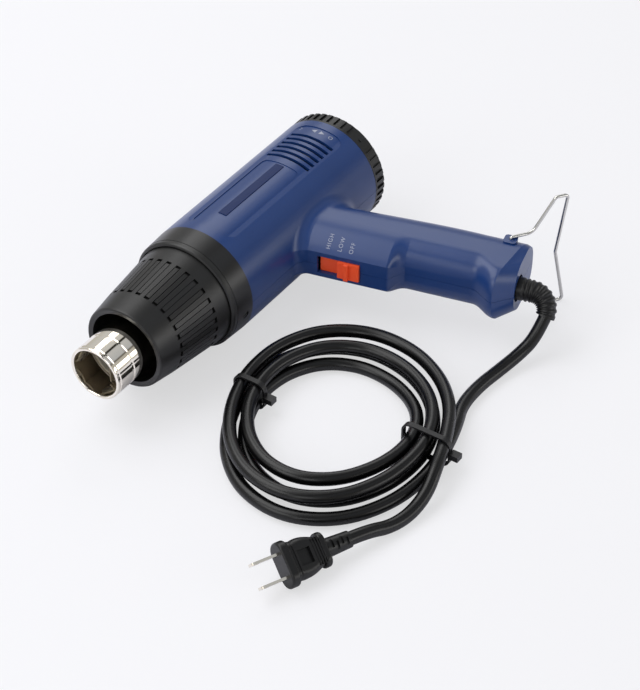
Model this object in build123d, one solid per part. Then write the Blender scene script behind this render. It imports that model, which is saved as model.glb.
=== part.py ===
"""Embossing heat tool: a pistol-shaped heat gun that lies on its side, with its cord laid in a tied coil.

Lengths are millimetres and angles degrees. Each piece of the tool is modelled about the barrel's axis, X,
with x = 0 at the front of the blue barrel, the hot-air outlet towards -X and the handle towards -Y, and is
then moved into the part's own frame, whose origin is on the floor under the middle of the tool. The plane
between the two housing halves is level. The handle has a frame of its own: x from its front to its back,
-y down its length and z across its thickness. The cord is laid in the part's frame.
"""
import os
from math import asin, atan, ceil, cos, degrees, hypot, radians, sin, sqrt, tan

from build123d import *

# General clearances
cut_over = 2.0
seat_gap = 0.3
fit_gap = 0.05
parting_gap = 0.2

# Barrel and its two housing halves
barrel_radius = 35.0
barrel_length = 127.0
wall = 2.5

# Handle
lean = 13.5
root_x = 68.2
grip_depth = 40.0
grip_thickness = 35.0
grip_corner = 13.0
back_corner = 17.3
grip_stations = ((0.0, 15.6, 15.4), (48.0, 16.2, 15.8), (88.0, 19.4, 17.2), (160.0, 20.0, 17.3))
handle_length = 153.9
flare_length = 25.9
chamfer_length = 10.4
chamfer_back = 1.2
flare_reach = 8.4
butt_front = 19.3
butt_back = 18.4
butt_thickness = 31.4
butt_corner = 13.5
butt_wall = 8.5
root_fillet = 9.0

# Switch block on the handle's front, and its window
block_reach = 29.0
block_face_width = 17.0
block_end = 81.0
sweep_length = 11.0
sweep_tuck = 0.4
sweep_shares = ((0.0, 0.0), (0.1, 0.13), (0.6, 0.42), (0.95, 0.75), (1.06, 1.0))
window_start = 39.6
window_length = 25.9
window_width = 11.6

# Raised panel edge, label recess and air vents, on both broad sides of the barrel
panel_start = 6.5
panel_end = 121.0
panel_angle = 27.5
panel_slope = 5.0
panel_depth = 0.5
label_length = 72.8
label_angle = 21.0
label_depth = 0.9
label_corner = 3.0
vent_count = 6
vent_first = 85.8
vent_pitch = 4.92
vent_width = 2.4
vent_angle = 25.0
stripe_front_margin = 14.2
stripe_end_margin = 1.6
stripe_width = 5.4
stripe_height = 0.4

# Black nose band, ribbed guard and chrome outlet tube
collar_length = 13.2
collar_front_radius = 34.3
collar_lip_length = 6.0
shoulder_radius = 28.0
guard_joint_gap = 0.2
flange_length = 3.6
flange_radius = 34.2
flange_round = 1.4
guard_base_radius = 31.8
guard_neck_x = -57.0
guard_neck_radius = 27.5
guard_front_x = -72.3
guard_rim_round = 1.0
guard_front_radius = 25.5
guard_wall = 2.9
guard_rim = 3.5
bar_count = 30
bar_first_angle = 10.2
bar_start = -57.4
bar_length = 30.1
bar_slot_width = 3.2
bar_width = 2.4
bar_slot_depth = 1.5
bar_pit = 1.8
web_x = -22.8
web_thickness = 2.0
outlet_radius = 16.5
outlet_wall = 1.0
outlet_front = -98.5
lip_thickness = 2.1
band_length = 10.6
groove_width = 1.2
groove_depth = 0.5
outlet_flange_radius = 24.0
outlet_flange_thickness = 1.0

# Heater cartridge
heater_plate = 2.0
heater_plate_x = -10.6
heater_plate_radius = 31.2
sleeve_wall = 0.6
sleeve_end = -26.0
former_front = -85.5
former_sheet = 1.0
former_rest = 5.5
coil_radius = 12.0
coil_wire = 1.2
coil_turns = 12
cutoff_size = (3.0, 10.0, 5.0)
cutoff_place = 21.0

# Blower: duct, motor, fan and the small supply board
duct_start = 30.0
duct_end = 84.0
duct_wall = 1.2
duct_notch_width = 16.0
duct_notch_end = 66.0
cradle_wall = 1.8
cradle_start = 40.0
cradle_length = 12.0
spoke_thickness = 1.6
spoke_count = 6
motor_radius = 17.0
motor_start = 32.0
motor_length = 34.0
motor_wall = 1.5
motor_cap = 3.0
magnet_thickness = 3.0
magnet_angle = 120.0
magnet_length = 22.0
rotor_radius = 11.5
rotor_length = 20.0
rotor_slots = 5
rotor_slot_width = 3.0
shaft_radius = 1.6
shaft_start = 31.0
shaft_end = 83.0
bush_radius = 4.0
bush_length = 3.4
fan_start = 71.0
fan_length = 11.0
fan_hub_radius = 13.0
fan_tip_radius = 29.0
fan_hub_wall = 2.0
fan_blades = 7
blade_thickness = 1.6
blade_twist = 32.0
board_radius = 15.0
board_thickness = 1.4
diode_size = (2.6, 5.0, 3.0)
diode_place = 9.0
can_radius = 3.6
can_height = 7.0

# Air inlet and the dial that opens and closes it
grille_x = 120.0
grille_thickness = 2.6
grille_rim = 3.0
grille_arms = 12
arm_width = 1.8
grille_rings_share = (0.35, 0.58, 0.8)
post_radius = 4.0
post_end = 133.9
dial_start = 127.3
dial_end = 137.4
dial_radius = 34.9
dial_rear_radius = 33.9
dial_lip_length = 1.4
dial_rim_wall = 2.4
dial_face = 2.4
dial_hub_radius = 7.2
dial_ribs = 44
dial_rib_gap = 2.6
dial_rib_depth = 1.2
dial_first_angle = 43.0
pad_end_angle = 66.0
pointer_width = 2.0
pointer_height = 0.5
inlet_slots = 18
inlet_slot_width = 3.0
inlet_slot_inner = 13.0
inlet_slot_outer = 29.0
shutter_thickness = 1.2
shutter_ports = 6
port_angle = 28.0
screw_head_radius = 5.6
screw_head_height = 2.0
screw_radius = 1.6

# Slide switch
plate_thickness = 1.5
plate_width = 13.0
plate_gap = 0.4
end_gap = 1.0
thumb_length = 13.0
thumb_rise = 1.6
ridge_rise = 3.2
ridge_length = 2.6
ridge_place = 4.2
slide_travel = 12.0
switch_start = 36.0
switch_length = 39.0
switch_width = 13.6
switch_height = 13.0
track_width = 5.0
track_depth = 5.0
contact_length = 8.0
contact_width = 3.6
terminal_size = (5.0, 0.8, 3.2)
rib_thickness = 1.6
switch_rib_inset = 6.0

# Screws: places are distances from the handle's middle line and from the barrel's axis
screw_places = ((9.0, 50.0), (9.0, 84.0), (9.0, 118.0))
screw_boss_radius = 3.6
case_screw_radius = 1.5
case_head_radius = 2.8
case_head_height = 2.0
head_depth = 5.0
case_screw_length = 21.0
nose_screw_radius = 1.3
nose_screw_head = 2.2
nose_screw_x = -6.0
nose_screw_angle = 9.0

# Wire bail and its ears
pivot_back = 9.1
pivot_down = 142.5
bail_leg_bend = 1.2
ear_size = 7.6
ear_rise = 0.7
bail_wire_radius = 1.0
bail_hole_gap = 0.06
bail_angle = -36.7
bail_leg_depth = 4.6
bail_first = 13.2
bail_top_in = 26.4
bail_top_out = 34.0
bail_corner = 35.6
bail_kink = 28.6
bail_half_width = 36.15
bail_lift = 1.85
bail_top_lift = 3.2
bail_low_in = 29.7
bail_bend = 2.2

# Cord and its strain relief in the butt
cord_diameter = 7.6
boot_run = 13.5
coil_run = 13.0
plug_run = 12.0
boot_place = -10.0
boot_mouth_radius = 8.0
boot_mouth_depth = 1.5
boot_base_radius = 6.7
boot_tip_radius = 5.7
boot_neck_radius = 5.6
boot_neck_gap = 0.2
boot_flange_radius = 7.3
boot_flange_thickness = 2.2
boot_straight = 8.5
boot_bend_radius = 10.0
boot_bend = 103.0
boot_side = 56.0
boot_collar = 5.0
boot_ribs = 9
rib_depth = 0.55
inner_cord_length = 28.0
clamp_place = 122.0
clamp_width = 6.0
clamp_thickness = 2.6
clamp_screw_spread = 5.9
clamp_boss_radius = 2.0
clamp_screw_radius = 0.9
clamp_head_share = 1.2
lead_wire_radius = 1.1
lead_wire_spread = 1.9

# Coil of the cord
coil_centre = (-52.0, -47.0)
coil_long_radius = 76.0
coil_short_radius = 60.5
coil_tilt = 22.3
coil_bulges = ((4.0, -60.0), (-3.0, 100.0), (3.0, -170.0))
coil_start_angle = -75.0
cord_turns = 4
lane_step = 8.8
lane_fan = 5.5
lane_fan_angle = 20.0
layer_gap = 0.5
tie_lift = 1.6

# Ties round the coil
tie_width = 3.2
tie_thickness = 1.1
tie_right_x = -41.0
tie_left_x = -59.0
tie_slack = 0.6
tie_corner = 4.4
buckle_size = (5.0, 5.5, 3.4)

# Plug: two flat blades, rectangular body, flange and slotted relief
plug_face_centre = (-162.16, -90.94, 11.25)
plug_heading = 157.24
plug_pitch = 3.78
plug_roll = 38.16
blade_spacing = 12.7
blade_length = 16.0
blade_width = 6.35
blade_sheet = 1.5
blade_hole_radius = 1.5
blade_hole_inset = 3.6
blade_root = 6.0
plate_size = (25.0, 14.6)
plate_corner = 6.4
plate_round = 1.3
plate_deep = 5.2
groove_deep = 1.6
waist_size = (21.5, 12.4)
body_size = (21.5, 13.4)
body_shares = ((0.94, 0.0), (1.0, 0.22), (0.94, 0.55), (0.68, 1.0))
body_taper_size = (14.5, 11.5)
body_deep = 15.5
plug_flange_size = (19.0, 12.0)
plug_flange_deep = 3.8
plug_flange_corner = 5.0
socket_size = (8.4, 7.6)
socket_deep = 2.4
plug_rib_width = 0.8
plug_rib_rise = 0.5
plug_rib_count = 3
relief_length = 15.0
relief_start_radius = 5.25
relief_end_radius = 4.6
relief_slots = 4
relief_slot_deep = 1.4
relief_slot_width = 1.5

# Derived places
bore_radius = barrel_radius - wall
half_depth = grip_depth / 2
half_thickness = grip_thickness / 2
block_blend = half_depth - grip_corner
stripe_start = panel_start + stripe_front_margin
stripe_length = label_length - stripe_front_margin - stripe_end_margin
plate_length = window_length + slide_travel - end_gap
cord_radius = cord_diameter / 2
face_inner = block_reach - wall
collar_front = -collar_length
guard_rear = collar_front - guard_joint_gap
guard_base_x = guard_rear - flange_length
sleeve_radius = outlet_radius - outlet_wall - seat_gap / 2
nose_head_base = barrel_radius - 1.5 * nose_screw_radius
axis_to_centre = Location((root_x, 0, 0), (0, 0, lean))
coil_climb = cord_diameter + layer_gap


def turned(outline):
    """Solid turned about X from a closed outline of (x, radius) points."""
    return revolve(make_face(Polyline(*outline, close=True)), axis=Axis.X)


def rod_x(radius, start, end):
    """Round bar along X."""
    return Pos(start, 0, 0) * Rot(0, 90, 0) * extrude(Circle(radius), end - start)


def ring_x(outer, inner, start, end):
    """Straight ring along X."""
    return turned([(start, inner), (start, outer), (end, outer), (end, inner)])


def block(x0, x1, y0, y1, z0, z1):
    """Box between two corners."""
    return Pos((x0 + x1) / 2, (y0 + y1) / 2, (z0 + z1) / 2) * Box(x1 - x0, y1 - y0, z1 - z0)


def around_x(shape, count, first=0.0):
    """Copies of a shape, evenly spaced round X."""
    return [Rot(first + 360 / count * i, 0, 0) * shape for i in range(count)]


def across_handle(down):
    """Plane across the handle at a distance down from the barrel's axis."""
    return Plane(origin=(0, -down, 0), x_dir=(1, 0, 0), z_dir=(0, -1, 0))


def handle_section(down, front, back, half, corner, back_corner):
    """Section across the handle at a distance down from the barrel's axis, rounder at its back."""
    outline = Rectangle(front + back, 2 * half)
    outline = fillet(outline.vertices().group_by(Axis.X)[0], corner)
    outline = fillet(outline.vertices().group_by(Axis.X)[-1], back_corner)
    return across_handle(down) * Pos((back - front) / 2, 0) * outline


def grip_form(inset, end):
    """Grip from the barrel's axis to an end, narrower at its back near the barrel, inset by a wall."""
    sections = []
    for down, back, back_corner in grip_stations:
        sections.append(handle_section(min(down, end), half_depth - inset, back - inset, half_thickness - inset,
                                       grip_corner - inset, back_corner - inset))
    return loft(sections)


def handle_post(place, radius, low, high):
    """Round post across the handle's thickness at (back, down)."""
    return Pos(place[0], -place[1], low) * extrude(Circle(radius), high - low)


def swept(path, radius):
    """Round bar along a path."""
    start = path ^ 0
    return sweep(Plane(origin=start.position, z_dir=path % 0) * Circle(radius), path=path)


def block_outline(reach, half_face):
    """Section of the switch block: its face, and sides that curve into the grip's flat flanks."""
    run = reach - block_blend
    rise = half_thickness - half_face
    bow_radius = (run * run + rise * rise) / (2 * rise)
    turn = asin(run / bow_radius) / 2
    middle = (-block_blend - bow_radius * sin(turn), half_thickness - bow_radius * (1 - cos(turn)))
    lines = [Line((-reach, -half_face), (-reach, half_face)),
             ThreePointArc((-reach, half_face), middle, (-block_blend, half_thickness)),
             Line((-block_blend, half_thickness), (-block_blend, -half_thickness)),
             ThreePointArc((-block_blend, -half_thickness), (middle[0], -middle[1]), (-reach, -half_face))]
    return make_face(lines)


def block_sweep():
    """End of the switch block, whose section shrinks to just inside the grip's along a curve."""
    half_face = block_face_width / 2
    sections = []
    for across, along in sweep_shares:
        reach = block_reach - (block_reach - half_depth + sweep_tuck) * across
        width = half_face + (half_thickness - grip_corner - half_face) * across
        sections.append(across_handle(block_end + sweep_length * along) * block_outline(reach, width))
    return loft(sections)


def butt_form():
    """End of the handle: the flared section, cut at a slant, and its bevel down to the end face."""
    front = half_depth + flare_reach
    section = handle_section(handle_length - chamfer_length, front, half_depth, half_thickness, grip_corner,
                             back_corner)
    block_solid = extrude(section, chamfer_length)
    high = handle_length - chamfer_length
    slant_end = handle_length - chamfer_back
    side = Plane.XY * make_face(Polyline((-front, -high), (half_depth, -slant_end), (half_depth, -high),
                                         close=True))
    body = block_solid & extrude(side, half_thickness, both=True)
    down = Vector(high - slant_end, -front - half_depth, 0).normalized()
    slant = max(body.faces(), key=lambda face: face.normal_at().dot(down))
    end_face = handle_section(handle_length, butt_front, butt_back, butt_thickness / 2, butt_corner,
                              butt_corner)
    return body + loft([slant, end_face.faces()[0]], ruled=True)


def housing_form():
    """Outer form of the barrel, handle, switch block and butt."""
    straight = handle_length - flare_length
    flare_end = handle_length - chamfer_length
    flare_steps_share = ((0.0, 0.0), (0.4, 0.28), (0.75, 0.8), (1.0, 1.0))
    flare_span = flare_end - straight
    flare = loft([handle_section(straight + flare_span * down, half_depth + flare_reach * out,
                                 half_depth, half_thickness, grip_corner, back_corner)
                  for down, out in flare_steps_share])
    root = across_handle(0) * block_outline(block_reach, block_face_width / 2)
    handle = grip_form(0, straight) + extrude(root, block_end) + block_sweep()
    handle = axis_to_centre * handle
    barrel = rod_x(barrel_radius, 0, barrel_length)
    body = barrel + handle
    joints = [edge for edge in new_edges(barrel, handle, combined=body)]
    body = fillet(joints, root_fillet)
    ears = Part() + [axis_to_centre * Pos(pivot_back, -pivot_down, 0)
                     * extrude(RectangleRounded(ear_size, ear_size, ear_size / 4),
                               half_thickness + ear_rise, both=True)]
    return body + axis_to_centre * flare + axis_to_centre * butt_form() + ears


def housing_cavity():
    """Space inside the barrel, handle and switch block."""
    inner = grip_form(wall, handle_length - butt_wall)
    pocket = extrude(across_handle(0) * offset(block_outline(block_reach, block_face_width / 2), -wall),
                     block_end - wall)
    return rod_x(bore_radius, -cut_over, barrel_length + cut_over) + axis_to_centre * (inner + pocket)


def ring_sector(outer, inner, start, end, half_angle):
    """Sector of a ring along X, centred on the upward direction."""
    span = Plane.YZ * Pos(0, 0) * make_face(
        Polyline((0, 0), (2 * outer * tan(radians(-half_angle)), 2 * outer),
                 (2 * outer * tan(radians(half_angle)), 2 * outer), close=True))
    return ring_x(outer, inner, start, end) & (Pos(start, 0, 0) * extrude(span, end - start))


def panel_cut():
    """Shallow panel with sloping edges, the label recess and the vents, for the upper side."""
    edge = radians(panel_angle)
    floor = radians(panel_angle - panel_slope)
    low = barrel_radius - panel_depth
    half_width = barrel_radius * sin(edge)
    top = barrel_radius + cut_over
    outline = (Polyline((-low * sin(floor), low * cos(floor)), (-half_width, barrel_radius * cos(edge)),
                        (-half_width, top), (half_width, top), (half_width, barrel_radius * cos(edge)),
                        (low * sin(floor), low * cos(floor)))
               + ThreePointArc((low * sin(floor), low * cos(floor)), (0, low),
                               (-low * sin(floor), low * cos(floor))))
    prism = Pos(panel_start, 0, 0) * extrude(Plane.YZ * make_face(outline), panel_end - panel_start)
    plan = Pos((panel_start + panel_end) / 2, 0) * RectangleRounded(panel_end - panel_start,
                                                                    2 * half_width, 2 * label_corner)
    panel = prism & extrude(plan, top)
    label_half = barrel_radius * sin(radians(label_angle))
    label_plan = Pos(panel_start + cut_over / 2 + label_length / 2, 0) * RectangleRounded(
        label_length - cut_over, 2 * label_half, label_corner)
    label = ring_x(top, barrel_radius - label_depth, panel_start, panel_start + label_length)
    label = label & extrude(label_plan, top)
    vents = [ring_sector(top, bore_radius - cut_over, vent_first + vent_pitch * i - vent_width / 2,
                         vent_first + vent_pitch * i + vent_width / 2, vent_angle)
             for i in range(vent_count)]
    return [panel, label] + vents


def inner_bosses():
    """Screw bosses, switch ribs, cord saddle and clamp bosses inside the handle."""
    shapes = [handle_post(place, screw_boss_radius, -half_thickness + wall / 2, half_thickness - wall / 2)
              for place in screw_places]
    rib_inner = switch_width / 2 + seat_gap
    rib_front = face_inner - plate_gap - 2 * plate_thickness
    for down in (switch_start + switch_rib_inset, switch_start + switch_length - switch_rib_inset):
        for side in (-1, 1):
            low = min(side * rib_inner, side * (half_thickness - wall / 2))
            high = max(side * rib_inner, side * (half_thickness - wall / 2))
            shapes.append(block(-rib_front + cord_radius, -rib_front + switch_height, -down - rib_thickness,
                                -down, low, high))
    saddle = block(boot_place - cord_radius, boot_place + cord_radius, -clamp_place - clamp_width / 4,
                   -clamp_place + clamp_width / 4, -half_thickness + wall / 2, -cord_radius - fit_gap)
    shapes.append(saddle)
    return shapes


def clamp_bosses():
    """Two bosses of the lower half that stand on both sides of the cord, for the clamp's screws."""
    room = block(-half_depth + wall + fit_gap, half_depth, -handle_length, 0, -parting_gap / 2, cord_radius)
    shapes = []
    for side in (-1, 1):
        place = (boot_place + side * clamp_screw_spread, clamp_place)
        shapes.append(handle_post(place, clamp_boss_radius, -half_thickness + wall / 2, -parting_gap / 2))
        shapes.append(handle_post(place, clamp_boss_radius, -parting_gap, cord_radius) & room)
    return shapes


def handle_holes():
    """Holes through the handle: window, screws, bail legs and the strain relief's neck."""
    window_end = window_start + window_length
    holes = [block(-block_reach - cut_over, -face_inner + cut_over / 2, -window_end, -window_start,
                   -window_width / 2, window_width / 2)]
    for place in screw_places:
        holes.append(handle_post(place, case_screw_radius + fit_gap, -half_thickness - cut_over,
                                 case_screw_length - half_thickness))
        holes.append(handle_post(place, case_head_radius + seat_gap, -half_thickness - cut_over,
                                 -half_thickness + head_depth))
    ear_top = half_thickness + ear_rise
    for side in (-1, 1):
        hole = extrude(Circle(bail_wire_radius + bail_hole_gap), side * (bail_leg_depth + seat_gap + ear_rise))
        holes.append(Pos(pivot_back, -pivot_down, side * (ear_top - bail_leg_depth - seat_gap)) * hole)
    throat = Plane(origin=(boot_place, -handle_length - cut_over, 0), z_dir=(0, 1, 0))
    holes.append(throat * extrude(Circle(boot_neck_radius + boot_neck_gap), butt_wall + 2 * cut_over))
    holes.append(throat * extrude(Circle(boot_mouth_radius), cut_over + boot_mouth_depth))
    return holes


def housing_halves():
    """The two clamshell halves, split at the level mid-plane."""
    form = housing_form()
    cavity = housing_cavity()
    bosses = Part() + [axis_to_centre * shape for shape in inner_bosses()]
    bosses = (bosses & form) - rod_x(bore_radius, -cut_over, barrel_length + cut_over)
    cuts = [axis_to_centre * hole for hole in handle_holes()]
    upper_panel = panel_cut()
    cuts += upper_panel
    cuts += [mirror(cut, about=Plane.XY) for cut in upper_panel]
    reach = handle_length + barrel_length
    halves = []
    for low, high in ((parting_gap / 2, reach), (-reach, -parting_gap / 2)):
        space = block(-reach, reach, -reach, reach, low, high)
        half = (form & space) - cavity + (bosses & space)
        halves.append(half - cuts)
    upper, lower = halves
    lower = lower + [(axis_to_centre * boss) & form for boss in clamp_bosses()]
    lower = lower - [axis_to_centre * handle_post((boot_place + side * clamp_screw_spread, clamp_place),
                                                  clamp_screw_radius + fit_gap, -cord_radius,
                                                  cord_radius + cut_over) for side in (-1, 1)]
    return upper, lower


def badge_strip():
    """Bare stripe inlaid in the label recess."""
    floor = barrel_radius - label_depth
    strip = ring_x(floor + stripe_height, floor, stripe_start, stripe_start + stripe_length)
    return strip & block(stripe_start, stripe_start + stripe_length, -stripe_width / 2, stripe_width / 2,
                         0, barrel_radius)


def nose_collar():
    """Black band between the guard and the blue barrel, with a spigot into the barrel and a shoulder."""
    rim = heater_plate_radius + seat_gap
    lip = bore_radius - seat_gap / 2
    seat = heater_plate_x + heater_plate + fit_gap
    outline = [(collar_front, rim), (collar_front, collar_front_radius), (0, barrel_radius), (0, lip),
               (collar_lip_length, lip), (collar_lip_length, lip - wall), (0, lip - wall),
               (seat + wall, shoulder_radius), (seat, shoulder_radius), (seat, rim)]
    holes = [Rot(nose_screw_angle + 90 + 180 * side, 0, 0) * Pos(nose_screw_x, 0, 0)
             * extrude(Circle(nose_screw_head + seat_gap), barrel_radius) for side in (0, 1)]
    pockets = [hole - rod_x(nose_head_base, collar_front, 0) for hole in holes]
    bores = [Rot(nose_screw_angle + 90 + 180 * side, 0, 0) * Pos(nose_screw_x, 0, 0)
             * extrude(Circle(nose_screw_radius + fit_gap), barrel_radius) for side in (0, 1)]
    return turned(outline) - pockets - bores


def collar_screws():
    """Two small screws that hold the nose band."""
    solids = []
    for side in (0, 1):
        place = Rot(nose_screw_angle + 90 + 180 * side, 0, 0)
        head = Pos(nose_screw_x, 0, nose_head_base) * extrude(Circle(nose_screw_head), nose_screw_radius)
        slot = Pos(nose_screw_x, 0, nose_head_base + nose_screw_radius) * Box(
            2 * nose_screw_head, nose_screw_radius / 2, nose_screw_radius)
        stem_base = shoulder_radius + fit_gap
        stem = Pos(nose_screw_x, 0, stem_base) * extrude(Circle(nose_screw_radius),
                                                         nose_head_base + nose_screw_radius / 2 - stem_base)
        solids.append(place * ((head + stem) - slot))
    return solids


def guard_radius(x):
    """Outer radius of the guard's long cone."""
    share = (x - guard_neck_x) / (guard_base_x - guard_neck_x)
    return guard_neck_radius + (guard_base_radius - guard_neck_radius) * share


def heat_guard():
    """Ribbed cone round the outlet tube, with a flange at its base and an inner web."""
    rim_inner = guard_front_radius - guard_rim
    base_inner = guard_base_radius - guard_wall
    spigot = heater_plate_radius
    spigot_end = heater_plate_x - fit_gap
    web_bore = outlet_radius + seat_gap
    web_end = web_x + web_thickness
    rim_round = guard_rim_round
    outline = [
        (spigot_end, spigot), (guard_rear, spigot), (guard_rear, flange_radius),
        (guard_base_x + flange_round, flange_radius), (guard_base_x + flange_round / 3,
                                                       flange_radius - flange_round / 3),
        (guard_base_x, flange_radius - flange_round), (guard_base_x, guard_base_radius + flange_round / 3),
        (guard_base_x + flange_round / 2, guard_base_radius), (guard_base_x, guard_base_radius),
        (guard_neck_x, guard_neck_radius), (guard_front_x + rim_round, guard_front_radius),
        (guard_front_x + rim_round / 3, guard_front_radius - rim_round / 3),
        (guard_front_x, guard_front_radius - rim_round), (guard_front_x + rim_round / 2, rim_inner),
        (guard_neck_x, guard_neck_radius - guard_wall), (web_x, guard_radius(web_x) - guard_wall),
        (web_x, web_bore), (web_end, web_bore), (web_end, base_inner), (spigot_end, base_inner)]
    tilt = degrees(atan((guard_base_radius - guard_neck_radius) / (guard_base_x - guard_neck_x)))
    middle = bar_start + bar_length / 2
    on_cone = Pos(middle, 0, guard_radius(middle)) * Rot(0, -tilt, 0)
    slot = on_cone * Box(bar_length, bar_slot_width, 2 * bar_slot_depth)
    bar = on_cone * Box(bar_length - 2 * bar_pit, bar_width, 4 * bar_slot_depth)
    return turned(outline) - around_x(slot - bar, bar_count, first=bar_first_angle)


def nozzle_tube():
    """Chrome outlet tube with a rolled lip, two bands and a locating flange."""
    inner = outlet_radius - outlet_wall
    lip_radius = lip_thickness / 2
    band_one = outlet_front + lip_thickness + groove_width / 2
    band_two = band_one + band_length + groove_width
    band_end = band_two + band_length
    low = outlet_radius - groove_depth
    ease = groove_depth
    tail = heater_plate_x - fit_gap
    outline = [
        (outlet_front + lip_radius, inner), (outlet_front + lip_radius, low), (band_one, low),
        (band_one + ease, outlet_radius), (band_one + band_length - ease, outlet_radius),
        (band_one + band_length, low), (band_two, low), (band_two + ease, outlet_radius),
        (band_end - ease, outlet_radius), (band_end, low), (web_x - outlet_flange_thickness - fit_gap, low),
        (web_x - outlet_flange_thickness - fit_gap, outlet_flange_radius),
        (web_x - fit_gap, outlet_flange_radius), (web_x - fit_gap, low), (tail, low), (tail, inner)]
    lip_centre = (outlet_front + lip_radius, outlet_radius - lip_radius)
    lip = revolve(Pos(*lip_centre) * Circle(lip_radius), axis=Axis.X)
    return turned(outline) + lip


def insulating_sleeve():
    """Mica sleeve inside the outlet tube."""
    return ring_x(sleeve_radius, sleeve_radius - sleeve_wall, former_front + former_rest, sleeve_end)


def former_radius():
    """Largest radius of the heater's cross plates."""
    return sleeve_radius - sleeve_wall - seat_gap


def heater_former():
    """Cross of two thin plates that carries the heating wire, wide at both ends."""
    rear = heater_plate_x - fit_gap
    core = coil_radius - coil_wire / 2 - seat_gap / 2
    wide = former_radius()
    outline = [(former_front, -wide), (former_front, wide), (former_front + former_rest, wide),
               (former_front + former_rest, core), (sleeve_end - former_rest, core),
               (sleeve_end - former_rest, wide), (rear, wide), (rear, -wide),
               (sleeve_end - former_rest, -wide), (sleeve_end - former_rest, -core),
               (former_front + former_rest, -core), (former_front + former_rest, -wide)]
    plate = extrude(make_face(Polyline(*outline, close=True)), former_sheet / 2, both=True)
    return plate + Rot(90, 0, 0) * plate


def heating_coil():
    """Resistance wire wound on the former."""
    start = former_front + former_rest + coil_wire
    length = sleeve_end - former_rest - coil_wire - start
    wire = Helix(pitch=length / coil_turns, height=length, radius=coil_radius)
    coil = sweep(Plane(origin=wire @ 0, z_dir=wire % 0) * Circle(coil_wire / 2), path=wire, is_frenet=True)
    return Pos(start, 0, 0) * Rot(0, 90, 0) * coil


def heater_flange():
    """Plate that carries the heater, with a ring of air holes."""
    plate = rod_x(heater_plate_radius, heater_plate_x, heater_plate_x + heater_plate)
    hole = Pos(heater_plate_x - cut_over, 0, former_radius() / 2) * Rot(0, 90, 0) * extrude(
        Circle(former_radius() / 3), heater_plate + 2 * cut_over)
    return plate - around_x(hole, 4, first=45)


def thermal_cutoff():
    """Thermal cutoff on the rear of the heater plate."""
    rear = heater_plate_x + heater_plate
    return block(rear, rear + cutoff_size[0], -cutoff_size[1] / 2, cutoff_size[1] / 2,
                 cutoff_place - cutoff_size[2] / 2, cutoff_place + cutoff_size[2] / 2)


def fan_duct():
    """Ring inside the barrel with spokes and a cradle for the motor."""
    outer = bore_radius - seat_gap
    cradle_inner = motor_radius + seat_gap / 2
    ring = ring_x(outer, outer - duct_wall, duct_start, duct_end)
    cradle = ring_x(cradle_inner + cradle_wall, cradle_inner, cradle_start, cradle_start + cradle_length)
    spoke = block(cradle_start, cradle_start + cradle_length, -spoke_thickness / 2, spoke_thickness / 2,
                  cradle_inner + cradle_wall / 2, outer - duct_wall / 2)
    notch = block(duct_start - cut_over, duct_notch_end, -barrel_radius, -barrel_radius / 2,
                  -duct_notch_width / 2, duct_notch_width / 2)
    return ring + cradle + around_x(spoke, spoke_count) - notch


def motor_can():
    """Steel can of the motor, closed at the front."""
    end = motor_start + motor_length - motor_cap
    can = rod_x(motor_radius, motor_start, end) - rod_x(motor_radius - motor_wall, motor_start + motor_wall,
                                                        end + cut_over)
    return can - rod_x(bush_radius + fit_gap, motor_start - cut_over, motor_start + motor_wall + cut_over)


def motor_end_cap():
    """Rear cap of the motor."""
    start = motor_start + motor_length - motor_cap
    return ring_x(motor_radius, bush_radius + fit_gap, start, start + motor_cap)


def motor_bushes():
    """Two plain bushes that carry the shaft."""
    rear = motor_start + motor_length - motor_cap
    inner = shaft_radius + fit_gap
    return [ring_x(bush_radius, inner, motor_start, motor_start + bush_length),
            ring_x(bush_radius, inner, rear, rear + bush_length)]


def motor_magnets():
    """Two curved magnets inside the can."""
    outer = motor_radius - motor_wall - fit_gap
    middle = motor_start + motor_length / 2
    half = magnet_length / 2
    ring = ring_x(outer, outer - magnet_thickness, middle - half, middle + half)
    side = outer * cos(radians(magnet_angle / 2))
    return [ring & block(middle - half, middle + half, side, outer, -outer, outer),
            ring & block(middle - half, middle + half, -outer, -side, -outer, outer)]


def rotor_core():
    """Slotted rotor on the shaft."""
    middle = motor_start + motor_length / 2
    core = ring_x(rotor_radius, shaft_radius, middle - rotor_length / 2, middle + rotor_length / 2)
    slot = block(middle - rotor_length, middle + rotor_length, -rotor_slot_width / 2, rotor_slot_width / 2,
                 rotor_radius / 2, rotor_radius + cut_over)
    return core - around_x(slot, rotor_slots)


def motor_shaft():
    """Steel shaft from the motor to the fan."""
    return rod_x(shaft_radius, shaft_start, shaft_end)


def impeller():
    """Axial fan: cup hub and twisted blades."""
    end = fan_start + fan_length
    hub = rod_x(fan_hub_radius, fan_start, end) - ring_x(fan_hub_radius - fan_hub_wall,
                                                         shaft_radius + 2 * fan_hub_wall,
                                                         fan_start - cut_over, end - fan_hub_wall)
    hub = hub - rod_x(shaft_radius, fan_start - cut_over, end + cut_over)
    root = fan_hub_radius - fan_hub_wall / 2
    chord = fan_length - fan_hub_wall
    blade = Pos(fan_start + fan_length / 2, 0, root) * Rot(0, 0, blade_twist) * extrude(
        RectangleRounded(chord, blade_thickness, blade_thickness / 2 - fit_gap), fan_tip_radius - root)
    return hub + around_x(blade, fan_blades)


def board_x():
    """Rear face of the supply board, just in front of the motor."""
    return motor_start - seat_gap


def rectifier_board():
    """Round supply board in front of the motor."""
    return ring_x(board_radius, 2 * shaft_radius, board_x() - board_thickness, board_x())


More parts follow.
